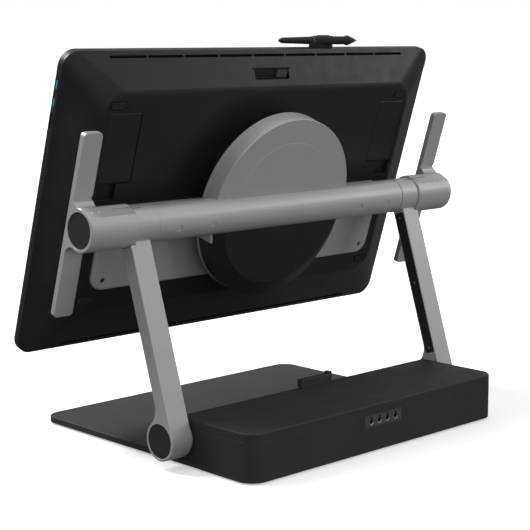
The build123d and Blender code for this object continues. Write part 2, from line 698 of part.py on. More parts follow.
def cone_solid(step):
    """The lower half of the drum with its raised cone, drawn in by a shell thickness."""
    with BuildPart() as cone:
        with BuildSketch(behind(DRUM_RING[1])):
            drum_outline(DRUM_R - step)
        extrude(amount=CONE_FOOT - DRUM_RING[1])
        with BuildSketch(behind(CONE_FOOT)):
            with Locations((0, DRUM_DOWN)):
                Circle(DRUM_R - step)
        with BuildSketch(behind(CONE_FACE - step)):
            with Locations((0, DRUM_UP)):
                Circle(CONE_R - step)
        loft()
        with BuildSketch(behind(0)):
            with Locations((0, TUBE_LOCAL_Y + 2 * DRUM_R)):
                Rectangle(4 * DRUM_R, 4 * DRUM_R)
        extrude(amount=2 * DRUM_R, mode=Mode.SUBTRACT)
    return cone.part


cone_outside = cone_solid(0)
cone_inside = cone_solid(SHELL_T)

with BuildPart() as drum_cover:
    add(cone_outside)
    add(cone_inside, mode=Mode.SUBTRACT)
    add(tube_space.part, mode=Mode.SUBTRACT)
    add(clamp_space.part, mode=Mode.SUBTRACT)
drum_cover.part.label = "drum_cover"
export_step(drum_cover.part, "parts/drum_cover.step")

SPINE_W, SPINE_H, SPINE_FACE = 190.0, 150.0, 103.5

with BuildPart() as drum_frame:
    with BuildSketch(behind(DRUM_RING[1])):
        with Locations((0, TUBE_LOCAL_Y)):
            Rectangle(SPINE_W, SPINE_H)
    extrude(amount=SPINE_FACE - DRUM_RING[1])
    with BuildSketch(behind(BEARING_FACE)):
        with Locations((0, DRUM_UP)):
            Circle(HUB_R - SEAT)
    extrude(amount=DRUM_RING[1] - BEARING_FACE)
    with BuildSketch(behind(BEARING_FACE)):
        with Locations((0, DRUM_UP)):
            Circle(SPIGOT_R + RUN)
    extrude(amount=DRUM_RING[0] - BEARING_FACE, mode=Mode.SUBTRACT)
    add(tube_space.part, mode=Mode.SUBTRACT)
drum_frame.part.label = "drum_frame"
export_step(drum_frame.part, "parts/drum_frame.step")

# ---------------------------------------------------------------- display mount

BRACKET_REAR = DISPLAY_T + BRACKET_PLATE_T
HUB_FACE = BEARING_FACE - 0.5
SPIGOT_END = TUBE_BEHIND - TUBE_R - 1.0
MOUNT_SCREWS = [(sign * 298.0, y) for sign in (1, -1) for y in (-115.0, -12.0)]

with BuildPart() as bracket_plate:
    with BuildSketch(behind(DISPLAY_T)):
        with Locations((0, (BRACKET_HEAD + BRACKET_FOOT) / 2)):
            RectangleRounded(2 * BRACKET_HALF_W, BRACKET_HEAD - BRACKET_FOOT, BRACKET_R)
    extrude(amount=BRACKET_PLATE_T)
    fillet(bracket_plate.edges().group_by(Axis(BACK.origin, BACK.z_dir))[-1], BRACKET_EDGE_R)
    with BuildSketch(behind(DISPLAY_T)):
        with Locations((0, DRUM_UP)):
            Circle(HUB_R + 30)
    extrude(amount=BRACKET_PLATE_T)
    with BuildSketch(behind(DISPLAY_T)):
        with Locations(*MOUNT_SCREWS):
            Circle(4.5 + SEAT)
    extrude(amount=BRACKET_PLATE_T, mode=Mode.SUBTRACT)
bracket_plate.part.label = "bracket_plate"
export_step(bracket_plate.part, "parts/bracket_plate.step")

with BuildPart() as bracket_screws:
    with BuildSketch(behind(DISPLAY_T)):
        with Locations(*MOUNT_SCREWS):
            Circle(4.5)
    extrude(amount=BRACKET_PLATE_T - 0.8)
    with BuildSketch(behind(DISPLAY_T + 1)):
        with Locations(*MOUNT_SCREWS):
            RegularPolygon(2.4, 6)
    extrude(amount=BRACKET_PLATE_T, mode=Mode.SUBTRACT)
bracket_screws.part.label = "bracket_screws"
export_step(bracket_screws.part, "parts/bracket_screws.step")

with BuildPart() as rotation_hub:
    with BuildSketch(behind(BRACKET_REAR)):
        with Locations((0, DRUM_UP)):
            Circle(HUB_R)
    extrude(amount=HUB_FACE - BRACKET_REAR)
    with BuildSketch(behind(HUB_FACE)):
        with Locations((0, DRUM_UP)):
            Circle(SPIGOT_R)
    extrude(amount=SPIGOT_END - HUB_FACE)
rotation_hub.part.label = "rotation_hub"
export_step(rotation_hub.part, "parts/rotation_hub.step")

# ---------------------------------------------------------------- display body

FLAT_W = DISPLAY_W - 2 * FLAT_SIDE
FLAT_H = DISPLAY_H - FLAT_TOP - FLAT_FOOT
FLAT_Y = (FLAT_FOOT - FLAT_TOP) / 2
COVER_FRONT = RIM_T + SEAM
SLOPE_START = COVER_FRONT + 3.5
USB_W, USB_H, USB_DEPTH = 13.6, 5.2, 16.0
PORT_DEPTH = 4.9     # of the ports' middle line behind the glass
USB_Y = (194.0, 166.0)
CARD_Y, CARD_W, CARD_H = 137.0, 27.0, 3.4
INLET_Y, INLET_W = 120.0, 12.0
BUTTON_X, BUTTON_W, BUTTON_H, BUTTON_TRAVEL = 361.0, 15.0, 3.2, 0.6


def at_side(sign):
    """Plane on the display's side edge: x up the edge, y away from the glass, z outward."""
    edge = BACK.from_local_coords((sign * -DISPLAY_W / 2, 0, 0))
    return Plane(origin=edge, x_dir=BACK.y_dir, z_dir=(sign, 0, 0))


def port_y(sign):
    """Away from the glass on a side plane, whose own y turns over with the side."""
    return PORT_DEPTH if at_side(sign).y_dir.dot(BACK.z_dir) > 0 else -PORT_DEPTH


ports = {
    1: [(y, USB_W, USB_H) for y in USB_Y] + [(CARD_Y, CARD_W, CARD_H)],
    -1: [(y, USB_W, USB_H) for y in USB_Y] + [(INLET_Y, INLET_W, USB_H)],
}
at_top = Plane(
    origin=BACK.from_local_coords((0, DISPLAY_H / 2, 0)), x_dir=(-1, 0, 0), z_dir=BACK.y_dir
)
top_depth = -PORT_DEPTH if at_top.y_dir.dot(BACK.z_dir) < 0 else PORT_DEPTH

with BuildPart() as bezel_frame:
    with BuildSketch(behind(0)):
        RectangleRounded(DISPLAY_W, DISPLAY_H, DISPLAY_R)
    extrude(amount=RIM_T)
    fillet(bezel_frame.edges().group_by(Axis(BACK.origin, BACK.z_dir))[0], 1.4)
    with BuildSketch(behind(0)):
        RectangleRounded(
            DISPLAY_W - 2 * GLASS_EDGE, DISPLAY_H - 2 * GLASS_EDGE, DISPLAY_R - GLASS_EDGE
        )
    extrude(amount=GLASS_T, mode=Mode.SUBTRACT)
    with BuildSketch(behind(0)):
        Rectangle(BEZEL_OPENING_W, BEZEL_OPENING_H)
    extrude(amount=RIM_T, mode=Mode.SUBTRACT)
    for sign, group in ports.items():
        with BuildSketch(at_side(sign)):
            for y, width, height in group:
                with Locations((y, port_y(sign))):
                    Rectangle(width, height)
        extrude(amount=-USB_DEPTH, mode=Mode.SUBTRACT)
    with BuildSketch(at_top):
        with Locations((-BUTTON_X, top_depth)):
            RectangleRounded(BUTTON_W + 0.6, BUTTON_H + 0.6, 1.8)
    extrude(amount=-6, mode=Mode.SUBTRACT)
bezel_frame.part.label = "bezel_frame"
export_step(bezel_frame.part, "parts/bezel_frame.step")

with BuildPart() as front_glass:
    with BuildSketch(behind(0.1)):
        RectangleRounded(
            DISPLAY_W - 2 * GLASS_EDGE - 2 * SEAT, DISPLAY_H - 2 * GLASS_EDGE - 2 * SEAT,
            DISPLAY_R - GLASS_EDGE - SEAT,
        )
    extrude(amount=GLASS_T - 0.1)
front_glass.part.label = "front_glass"
export_step(front_glass.part, "parts/front_glass.step")


def slab(label, width, height, depth, thickness, middle=(0, 0)):
    """A flat inner board or panel parallel to the glass."""
    with BuildPart() as board:
        with BuildSketch(behind(depth)):
            with Locations(middle):
                RectangleRounded(width, height, 3)
        extrude(amount=thickness)
    board.part.label = label
    export_step(board.part, f"parts/{label}.step")


PANEL_T, TRAY_T, SENSOR_T, BOARD_T = 4.0, 7.5, 1.6, 1.6
SENSOR_AT = GLASS_T + PANEL_T + TRAY_T
BOARD_AT = 22.0
SINK_H = 8.0
slab("lcd_panel", PANEL_W, PANEL_H, GLASS_T, PANEL_T)
slab("backlight_tray", PANEL_W + 6, PANEL_H + 6, GLASS_T + PANEL_T, TRAY_T)
slab("digitizer_board", PANEL_W - 20, PANEL_H - 20, SENSOR_AT, SENSOR_T)
slab("main_board", 280, 170, BOARD_AT, BOARD_T, (0, -40))

FIN_PITCH = 8.0

with BuildPart() as heat_sink:
    with BuildSketch(behind(BOARD_AT + BOARD_T)):
        with Locations((0, -40)):
            Rectangle(170, 96)
    extrude(amount=2)
    with BuildSketch(behind(BOARD_AT + BOARD_T + 2)):
        with Locations((0, -40)):
            with GridLocations(FIN_PITCH, 1, 21, 1):
                Rectangle(1.6, 96)
    extrude(amount=SINK_H)
heat_sink.part.label = "heat_sink"
export_step(heat_sink.part, "parts/heat_sink.step")

FAN_AT, FAN_MIDDLE = 22.0, (0, 106)
FAN_R, FAN_T = 36.0, 13.0
FAN_WALL, FAN_GAP, FAN_PIN_R, FAN_HUB_R = 2.0, 2.0, 1.5, 12.0
BLADES = 9

with BuildPart() as fan_housing:
    with BuildSketch(behind(FAN_AT)):
        with Locations(FAN_MIDDLE):
            RectangleRounded(2 * (FAN_R + FAN_GAP + 4), 2 * (FAN_R + FAN_GAP + 4), 6)
    extrude(amount=FAN_T)
    with BuildSketch(behind(FAN_AT + FAN_WALL)):
        with Locations(FAN_MIDDLE):
            Circle(FAN_R + FAN_GAP)
    extrude(amount=FAN_T, mode=Mode.SUBTRACT)
    with BuildSketch(behind(FAN_AT + FAN_WALL)):
        with Locations(FAN_MIDDLE):
            Circle(FAN_PIN_R)
    extrude(amount=FAN_T - FAN_WALL - 4)
fan_housing.part.label = "fan_housing"
export_step(fan_housing.part, "parts/fan_housing.step")

with BuildPart() as fan:
    with BuildSketch(behind(FAN_AT + FAN_WALL + CLEAR)):
        with Locations(FAN_MIDDLE):
            Circle(FAN_HUB_R)
        with Locations(FAN_MIDDLE):
            with PolarLocations((FAN_HUB_R - 1 + FAN_R) / 2, BLADES):
                Rectangle(FAN_R - FAN_HUB_R + 1, 3.0, rotation=18)
    extrude(amount=FAN_T - FAN_WALL - 2 * CLEAR)
    with BuildSketch(behind(FAN_AT + FAN_WALL)):
        with Locations(FAN_MIDDLE):
            Circle(FAN_PIN_R + RUN)
    extrude(amount=FAN_T - FAN_WALL - 3, mode=Mode.SUBTRACT)
fan.part.label = "fan"
export_step(fan.part, "parts/fan.step")


def cover_solid(wall):
    """The display's back as a solid, drawn in by a wall."""
    with BuildPart() as back:
        with BuildSketch(behind(COVER_FRONT)):
            RectangleRounded(DISPLAY_W - 2 * wall, DISPLAY_H - 2 * wall, DISPLAY_R - wall)
        extrude(amount=SLOPE_START - COVER_FRONT)
        with BuildSketch(behind(SLOPE_START)):
            RectangleRounded(DISPLAY_W - 2 * wall, DISPLAY_H - 2 * wall, DISPLAY_R - wall)
        with BuildSketch(behind(DISPLAY_T - wall)):
            with Locations((0, FLAT_Y)):
                RectangleRounded(FLAT_W - wall, FLAT_H - wall, FLAT_R - wall)
        loft()
        fillet(back.edges().group_by(Axis(BACK.origin, BACK.z_dir))[-1], CREASE_R)
    return back.part


SLOT_W = DISPLAY_W - 159.0
SLOT_COUNT = 9
VENT_H, FOOT_SLOT_H = 3.6, 4.8
SLOT_EDGE = 8.7      # vent line from the top and bottom edges
LEG_TOP = LEG_HINGE + LEG_T / 2
POCKET_FLOOR = DISPLAY_T - LEG_T - 2.2
TUB_T = 2.0
NOTCH_X, NOTCH_W = 318.0, 38.0
LATCH_Y, LATCH_W, LATCH_H, LATCH_DEPTH = 211.0, 78.0, 15.0, 6.0
PIN_AT = tuple(BACK.from_local_coords((0, LEG_HINGE, DISPLAY_T - LEG_T / 2)))[1:]
leg_middle = (LEG_FOOT + LEG_TOP) / 2
leg_height = LEG_TOP - LEG_FOOT
PAD_L, PAD_W, PAD_MOAT, PAD_RECESS, PAD_PROUD = 32.0, 11.0, 1.6, 1.5, 1.6
PADS = [(sign * 320.0, y) for sign in (1, -1) for y in (171.0, -150.0)]
cover_outside = cover_solid(0)
cover_inside = cover_solid(COVER_WALL)
# depth of the sloping band at the latch, between the edge and the flat
slope_run = (DISPLAY_H / 2 - LATCH_Y) / FLAT_TOP
LATCH_SURFACE = SLOPE_START + (DISPLAY_T - SLOPE_START) * slope_run

with BuildPart() as rear_cover:
    add(cover_outside)
    add(cover_inside, mode=Mode.SUBTRACT)
    # tubs for the legs and their finger notches
    with BuildSketch(behind(POCKET_FLOOR - TUB_T)):
        with Locations((LEG_X, leg_middle), (-LEG_X, leg_middle)):
            Rectangle(LEG_W + 12, leg_height + 8)
        with Locations((NOTCH_X, LEG_FOOT - NOTCH_H / 2), (-NOTCH_X, LEG_FOOT - NOTCH_H / 2)):
            Rectangle(NOTCH_W + 6, NOTCH_H + 6)
    extrude(amount=DISPLAY_T - POCKET_FLOOR)
    with BuildSketch(behind(POCKET_FLOOR)):
        with Locations((LEG_X, leg_middle), (-LEG_X, leg_middle)):
            RectangleRounded(LEG_W + 2 * LEG_SEAM, leg_height + 2 * LEG_SEAM, 2)
        with Locations((NOTCH_X, LEG_FOOT - NOTCH_H / 2), (-NOTCH_X, LEG_FOOT - NOTCH_H / 2)):
            RectangleRounded(NOTCH_W, NOTCH_H + 2, 3)
    extrude(amount=DISPLAY_T, mode=Mode.SUBTRACT)
    # recesses of the rubber pads
    with BuildSketch(behind(DISPLAY_T - PAD_RECESS)):
        with Locations(*PADS):
            SlotOverall(PAD_L + 2 * PAD_MOAT, PAD_W + 2 * PAD_MOAT)
    extrude(amount=DISPLAY_T, mode=Mode.SUBTRACT)
    # recess of the cover latch on the upper slope
    with BuildSketch(behind(LATCH_SURFACE - LATCH_DEPTH - 3)):
        with Locations((0, LATCH_Y)):
            Rectangle(LATCH_W + 5, LATCH_H + 5)
    extrude(amount=5)
    with BuildSketch(behind(LATCH_SURFACE - LATCH_DEPTH)):
        with Locations((0, LATCH_Y)):
            RectangleRounded(LATCH_W, LATCH_H, 3)
    extrude(amount=DISPLAY_T, mode=Mode.SUBTRACT)
    # vent slots along the top edge and the long slot along the bottom edge
    with BuildSketch(behind(0)):
        with Locations((0, DISPLAY_H / 2 - SLOT_EDGE)):
            with GridLocations(SLOT_W / SLOT_COUNT, 1, SLOT_COUNT, 1):
                SlotOverall(SLOT_W / SLOT_COUNT - 2.4, VENT_H)
        with Locations((0, -DISPLAY_H / 2 + SLOT_EDGE)):
            SlotOverall(SLOT_W, FOOT_SLOT_H)
    extrude(amount=DISPLAY_T, mode=Mode.SUBTRACT)
    # holes for the leg pins
    with BuildSketch(across(-DISPLAY_W / 2 + FLAT_SIDE)):
        with Locations(PIN_AT):
            Circle(LEG_PIN_R + SEAT)
    extrude(amount=DISPLAY_W - 2 * FLAT_SIDE, mode=Mode.SUBTRACT)
rear_cover.part.label = "rear_cover"
export_step(rear_cover.part, "parts/rear_cover.step")

LATCH_L, LATCH_TRAVEL = 24.0, 8.0

with BuildPart() as cover_latch:
    with BuildSketch(behind(LATCH_SURFACE - LATCH_DEPTH + 0.3)):
        with Locations((LATCH_W / 2 - LATCH_L / 2 - 2, LATCH_Y)):
            RectangleRounded(LATCH_L, LATCH_H - 2, 2.4)
    extrude(amount=LATCH_DEPTH - 2.8)
cover_latch.part.label = "cover_latch"
export_step(cover_latch.part, "parts/cover_latch.step")

with BuildPart() as vent_grilles:
    with BuildSketch(behind(COVER_FRONT + SEAT)):
        with Locations((0, DISPLAY_H / 2 - SLOT_EDGE), (0, -DISPLAY_H / 2 + SLOT_EDGE)):
            Rectangle(SLOT_W + 8, 7.0)
            with GridLocations(8, 1, 80, 1):
                Rectangle(4.4, 2.4, mode=Mode.SUBTRACT)
    extrude(amount=1.2)
vent_grilles.part.label = "vent_grilles"
export_step(vent_grilles.part, "parts/vent_grilles.step")

with BuildPart() as rubber_pads:
    with BuildSketch(behind(DISPLAY_T - PAD_RECESS)):
        with Locations(*PADS):
            SlotOverall(PAD_L, PAD_W)
    extrude(amount=PAD_RECESS + PAD_PROUD)
    fillet(rubber_pads.edges().group_by(Axis(BACK.origin, BACK.z_dir))[-1], 1.2)
rubber_pads.part.label = "rubber_pads"
export_step(rubber_pads.part, "parts/rubber_pads.step")

with BuildPart() as port_sockets:
    for sign, group in ports.items():
        with BuildSketch(at_side(sign).offset(-0.4)):
            for y, width, height in group:
                with Locations((y, port_y(sign))):
                    Rectangle(width - 2 * SEAT, height - 2 * SEAT)
                    Rectangle(width - 1.2, height - 1.2, mode=Mode.SUBTRACT)
        extrude(amount=-USB_DEPTH + 2)
        with BuildSketch(at_side(sign).offset(-USB_DEPTH + 1.6)):
            for y, width, height in group:
                with Locations((y, port_y(sign))):
                    Rectangle(width - 2 * SEAT, height - 2 * SEAT)
        extrude(amount=-1.5)
port_sockets.part.label = "port_sockets"
export_step(port_sockets.part, "parts/port_sockets.step")

with BuildPart() as port_tongues:
    for sign in (1, -1):
        with BuildSketch(at_side(sign).offset(-USB_DEPTH + 1.6)):
            for y in USB_Y:
                with Locations((y, port_y(sign))):
                    Rectangle(USB_W - 2.4, 2.4)
        extrude(amount=USB_DEPTH - 2.2)
port_tongues.part.label = "port_tongues"
export_step(port_tongues.part, "parts/port_tongues.step")

with BuildPart() as power_button:
    with BuildSketch(at_top.offset(-4)):
        with Locations((-BUTTON_X, top_depth)):
            RectangleRounded(BUTTON_W, BUTTON_H, 1.5)
    extrude(amount=4 + BUTTON_TRAVEL)
power_button.part.label = "power_button"
export_step(power_button.part, "parts/power_button.step")

# ---------------------------------------------------------------- fold-out legs

for side, sign in (("right", -1), ("left", 1)):
    with BuildPart() as leg:
        with BuildSketch(behind(DISPLAY_T - LEG_T)):
            with Locations((sign * LEG_X, (LEG_FOOT + LEG_HINGE + LEG_T / 2) / 2)):
                RectangleRounded(LEG_W, LEG_HINGE + LEG_T / 2 - LEG_FOOT, 2.5)
        extrude(amount=LEG_T)
        hinge_end = leg.faces().sort_by(Axis(BACK.origin, BACK.y_dir))[-1]
        fillet(hinge_end.edges().filter_by(Axis.X), LEG_T / 2 - 0.2)
        with BuildSketch(across(-DISPLAY_W / 2)):
            with Locations(PIN_AT):
                Circle(LEG_PIN_R + RUN)
        extrude(amount=DISPLAY_W, mode=Mode.SUBTRACT)
    leg.part.label = f"leg_{side}"
    export_step(leg.part, f"parts/leg_{side}.step")

with BuildPart() as leg_pins:
    with BuildSketch(across(LEG_X - LEG_W / 2 - 4)):
        with Locations(PIN_AT):
            Circle(LEG_PIN_R)
    extrude(amount=LEG_W + 8)
    mirror(about=Plane.YZ)
leg_pins.part.label = "leg_pins"
export_step(leg_pins.part, "parts/leg_pins.step")

# ---------------------------------------------------------------- pen and its rest

top_middle = BACK.from_local_coords((-PEN_X, DISPLAY_H / 2, RIM_T / 2))
yaw = radians(PEN_YAW)
# Pen axis: x towards the nib
PEN = Plane(
    origin=(PEN_X, top_middle.Y, top_middle.Z + PEN_HEIGHT),
    x_dir=(-cos(yaw), sin(yaw), 0), z_dir=(0, 0, 1),
)
PEN_AXIS = Axis(PEN.origin, PEN.x_dir)
TAIL = -PEN_L / 2
RING = (TAIL + 66.0, TAIL + 70.0)
GRIP_END = TAIL + 137.0
GRIP_R = 8.0

with BuildPart() as pen_barrel:
    with BuildSketch(PEN):
        Polygon(
            (TAIL, 0), (TAIL, 1.6), (TAIL + 6, 4.8), (RING[0], 6.6), (RING[0], 0), align=None
        )
    revolve(axis=PEN_AXIS)
pen_barrel.part.label = "pen_barrel"
export_step(pen_barrel.part, "parts/pen_barrel.step")

with BuildPart() as pen_ring:
    with BuildSketch(PEN):
        Polygon((RING[0], 0), (RING[0], 7.0), (RING[1], 7.8), (RING[1], 0), align=None)
    revolve(axis=PEN_AXIS)
pen_ring.part.label = "pen_ring"
export_step(pen_ring.part, "parts/pen_ring.step")

SWITCH = (RING[1] + 8, RING[1] + 32)

with BuildPart() as pen_grip:
    with BuildSketch(PEN):
        Polygon(
            (RING[1], 0), (RING[1], GRIP_R), (RING[1] + 36, GRIP_R), (RING[1] + 40, 7.0),
            (GRIP_END - 2, 7.0), (GRIP_END, 8.4), (GRIP_END, 0), align=None,
        )
    revolve(axis=PEN_AXIS)
    with BuildSketch(PEN.offset(GRIP_R - 2.2)):
        with Locations(((SWITCH[0] + SWITCH[1]) / 2, 0)):
            SlotOverall(SWITCH[1] - SWITCH[0] + 1, 6.2)
    extrude(amount=6, mode=Mode.SUBTRACT)
pen_grip.part.label = "pen_grip"
export_step(pen_grip.part, "parts/pen_grip.step")

with BuildPart() as pen_nib:
    with BuildSketch(PEN):
        Polygon(
            (GRIP_END, 0), (GRIP_END, 8.4), (GRIP_END + 4, 8.4), (PEN_L / 2 - 5, 2.4),
            (PEN_L / 2 - 5, 1.0), (PEN_L / 2, 0.6), (PEN_L / 2, 0), align=None,
        )
    revolve(axis=PEN_AXIS)
pen_nib.part.label = "pen_nib"
export_step(pen_nib.part, "parts/pen_nib.step")

with BuildPart() as pen_switch:
    with BuildSketch(PEN.offset(GRIP_R - 1.6)):
        with Locations(((SWITCH[0] + SWITCH[1]) / 2, 0)):
            SlotOverall(SWITCH[1] - SWITCH[0], 5.2)
    extrude(amount=2.6)
pen_switch.part.label = "pen_switch"
export_step(pen_switch.part, "parts/pen_switch.step")

REST_L = 54.0

with BuildPart() as pen_rest:
    with BuildSketch(at_top):
        with Locations((-PEN_X + 4, top_depth)):
            RectangleRounded(REST_L, RIM_T - 1.4, 2)
    extrude(amount=9.0)
    with BuildSketch(Plane(origin=PEN.origin - PEN.x_dir * PEN_L, x_dir=(0, 0, 1), z_dir=PEN.x_dir)):
        Circle(GRIP_R + 0.4)
    extrude(amount=2 * PEN_L, mode=Mode.SUBTRACT)
pen_rest.part.label = "pen_rest"
export_step(pen_rest.part, "parts/pen_rest.step")

print("screen centre", round(SCREEN_Y, 3), round(SCREEN_Z, 3), "arm lean", round(degrees(LEAN), 3))
print("housing", round(HOUSING_IN, 2), round(HOUSING_OUT, 2), "tube half", round(TUBE_HALF, 2))
print("pen origin", [round(v, 3) for v in PEN.origin])
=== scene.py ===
"""Looks for the pen display on its stand: materials, small pieces, camera and studio."""

import json
from math import cos, pi, radians, sin

import bmesh
import bpy
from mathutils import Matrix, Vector


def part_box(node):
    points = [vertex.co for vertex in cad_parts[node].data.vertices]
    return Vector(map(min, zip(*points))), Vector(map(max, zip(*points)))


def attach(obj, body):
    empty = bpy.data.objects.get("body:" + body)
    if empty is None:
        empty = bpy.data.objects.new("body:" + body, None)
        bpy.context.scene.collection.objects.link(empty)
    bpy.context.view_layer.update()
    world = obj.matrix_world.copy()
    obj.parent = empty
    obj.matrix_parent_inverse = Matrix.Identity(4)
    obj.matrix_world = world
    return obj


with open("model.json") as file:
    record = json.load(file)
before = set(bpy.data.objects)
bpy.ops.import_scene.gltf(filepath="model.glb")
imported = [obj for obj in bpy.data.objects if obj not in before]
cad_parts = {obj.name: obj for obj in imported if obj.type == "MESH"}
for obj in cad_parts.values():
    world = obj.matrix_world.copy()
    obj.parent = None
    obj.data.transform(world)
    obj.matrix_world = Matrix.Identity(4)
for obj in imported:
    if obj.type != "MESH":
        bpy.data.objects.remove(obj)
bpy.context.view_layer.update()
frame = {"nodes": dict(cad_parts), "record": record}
NODES = frame["nodes"]
MM = 0.001

# ------------------------------------------------------------------ camera

CAMERA_AT = Vector((1.6868, 1.7321, 0.6447))
CAMERA_TURN = radians(135.99)
CAMERA_DIP = radians(8.89)
LENS = 99.22
SENSOR = 36.0


def make_camera():
    """The camera at the photograph's viewing angle."""
    data = bpy.data.cameras.new("camera")
    data.lens = LENS
    data.sensor_width = SENSOR
    data.clip_end = 100.0
    camera = bpy.data.objects.new("camera", data)
    camera.location = CAMERA_AT
    camera.rotation_euler = (pi / 2 - CAMERA_DIP, 0.0, CAMERA_TURN)
    bpy.context.scene.collection.objects.link(camera)
    bpy.context.scene.camera = camera


make_camera()

# ------------------------------------------------------------------ materials

NOISE_MIDDLE = (0.3, 0.7)        # the range that most of a noise's values fall in
EDGE_COSINES = (0.999, 0.9)      # between the two normals: still flat, and fully an edge
BEVEL_SAMPLES = 6


class Graph:
    """A material's node tree with a Principled shader, and short calls that add to it."""

    def __init__(self, name):
        self.material = bpy.data.materials.new(name)
        self.material.use_nodes = True
        self.tree = self.material.node_tree
        self.shader = self.tree.nodes["Principled BSDF"]
        self.coords = self.add("ShaderNodeTexCoord").outputs["Object"]

    def add(self, kind, **settings):
        """A new node, with its sockets or properties set by name."""
        node = self.tree.nodes.new(kind)
        for key, value in settings.items():
            setattr(node, key, value)
        return node

    def link(self, out, into):
        self.tree.links.new(out, into)

    def noise(self, scale, detail=3.0, roughness=0.55, stretch=None):
        """Noise at a scale in features per metre, stretched along the object's axes if asked."""
        vector = self.coords
        if stretch:
            mapping = self.add("ShaderNodeMapping")
            mapping.inputs["Scale"].default_value = stretch
            self.link(vector, mapping.inputs["Vector"])
            vector = mapping.outputs["Vector"]
        node = self.add("ShaderNodeTexNoise")
        node.inputs["Scale"].default_value = scale
        node.inputs["Detail"].default_value = detail
        node.inputs["Roughness"].default_value = roughness
        self.link(vector, node.inputs["Vector"])
        return node.outputs["Fac"]

    def spread(self, fac, low, high):
        """The middle of a noise's range, mapped to low..high."""
        node = self.add("ShaderNodeMapRange")
        node.inputs["From Min"].default_value = NOISE_MIDDLE[0]
        node.inputs["From Max"].default_value = NOISE_MIDDLE[1]
        node.inputs["To Min"].default_value = low
        node.inputs["To Max"].default_value = high
        self.link(fac, node.inputs["Value"])
        return node.outputs["Result"]

    def mix(self, fac, a, b):
        """Colour a to colour b by fac. Each is a colour or a socket."""
        node = self.add("ShaderNodeMix", data_type="RGBA")
        colour_sockets = [s for s in node.inputs if s.type == "RGBA"]
        for socket, value in zip(colour_sockets, (a, b)):
            if hasattr(value, "links"):
                self.link(value, socket)
            else:
                socket.default_value = (*value, 1.0)
        self.link(fac, node.inputs["Factor"])
        return [s for s in node.outputs if s.type == "RGBA"][0]

    def bump(self, height, depth, normal=None):
        """A bump of a depth in metres."""
        node = self.add("ShaderNodeBump")
        node.inputs["Strength"].default_value = 1.0
        node.inputs["Distance"].default_value = depth
        self.link(height, node.inputs["Height"])
        if normal is not None:
            self.link(normal, node.inputs["Normal"])
        return node.outputs["Normal"]

    def soft_edge(self, radius):
        """Normals that round the edges off by a radius."""
        node = self.add("ShaderNodeBevel", samples=BEVEL_SAMPLES)
        node.inputs["Radius"].default_value = radius
        return node.outputs["Normal"]

    def edge_mask(self, normal):
        """1 where a rounded-off normal leaves the face's own, so on edges, and 0 on flat faces."""
        geometry = self.add("ShaderNodeNewGeometry")
        dot = self.add("ShaderNodeVectorMath", operation="DOT_PRODUCT")
        self.link(normal, dot.inputs[0])
        self.link(geometry.outputs["Normal"], dot.inputs[1])
        ramp = self.add("ShaderNodeMapRange")
        ramp.inputs["From Min"].default_value = EDGE_COSINES[0]
        ramp.inputs["From Max"].default_value = EDGE_COSINES[1]
        self.link(dot.outputs["Value"], ramp.inputs["Value"])
        return ramp.outputs["Result"]


def shade(colour, factor):
    """A colour made lighter or darker."""
    return tuple(min(1.0, channel * factor) for channel in colour)


def moulded(name, colour, rough, grain=0.00006, edge=0.0006, specular=0.5, edge_highlight=1.5):
    """Injection-moulded plastic: fine spark-eroded grain, slow colour drift, and a painted highlight that
    lightens the colour along its edges.
    """
    g = Graph(name)
    g.shader.inputs["Specular IOR Level"].default_value = specular
    drift = g.spread(g.noise(9.0, detail=4.0), 0.0, 1.0)
    base = g.mix(drift, shade(colour, 0.9), shade(colour, 1.1))
    rounded = g.soft_edge(edge)
    mask = g.edge_mask(rounded)
    # Painted highlight: the colour is lightened along the edges.
    g.link(g.mix(mask, base, shade(colour, edge_highlight)), g.shader.inputs["Base Color"])
    smudge = g.noise(38.0, detail=5.0, roughness=0.6)
    g.link(g.spread(smudge, rough - 0.05, rough + 0.06), g.shader.inputs["Roughness"])
    fine = g.noise(1400.0, detail=2.0)
    g.link(g.bump(fine, grain, rounded), g.shader.inputs["Normal"])
    return g.material


def blasted_metal(name, colour, rough, metallic=0.5, grain=0.00003, edge=0.0007):
    """Bead-blasted, anodised metal: a fine sparkle of grain, and a painted highlight that lightens the
    colour along its edges.
    """
    g = Graph(name)
    g.shader.inputs["Metallic"].default_value = metallic
    drift = g.spread(g.noise(14.0, detail=4.0), 0.0, 1.0)
    grit = g.spread(g.noise(2600.0, detail=1.0), 0.0, 1.0)
    base = g.mix(drift, shade(colour, 0.965), shade(colour, 1.035))
    speckled = g.mix(grit, base, shade(colour, 1.05))
    rounded = g.soft_edge(edge)
    mask = g.edge_mask(rounded)
    # Painted highlight: the colour is lightened along the edges.
    g.link(g.mix(mask, speckled, shade(colour, 1.08)), g.shader.inputs["Base Color"])
    g.link(g.spread(g.noise(30.0, detail=5.0), rough - 0.03, rough + 0.04), g.shader.inputs["Roughness"])
    height = g.noise(1900.0, detail=2.0)
    g.link(g.bump(height, grain, rounded), g.shader.inputs["Normal"])
    return g.material


def ground_steel(name, colour, rough, stretch):
    """Turned or ground steel, with fine marks along or round the piece."""
    g = Graph(name)
    g.shader.inputs["Metallic"].default_value = 1.0
    marks = g.noise(900.0, detail=4.0, stretch=stretch)
    streaked = g.mix(g.spread(marks, 0.0, 1.0), shade(colour, 0.88), shade(colour, 1.1))
    g.link(streaked, g.shader.inputs["Base Color"])
    g.link(g.spread(marks, rough - 0.08, rough + 0.1), g.shader.inputs["Roughness"])
    g.link(g.bump(marks, 0.00002, g.soft_edge(0.0003)), g.shader.inputs["Normal"])
    return g.material


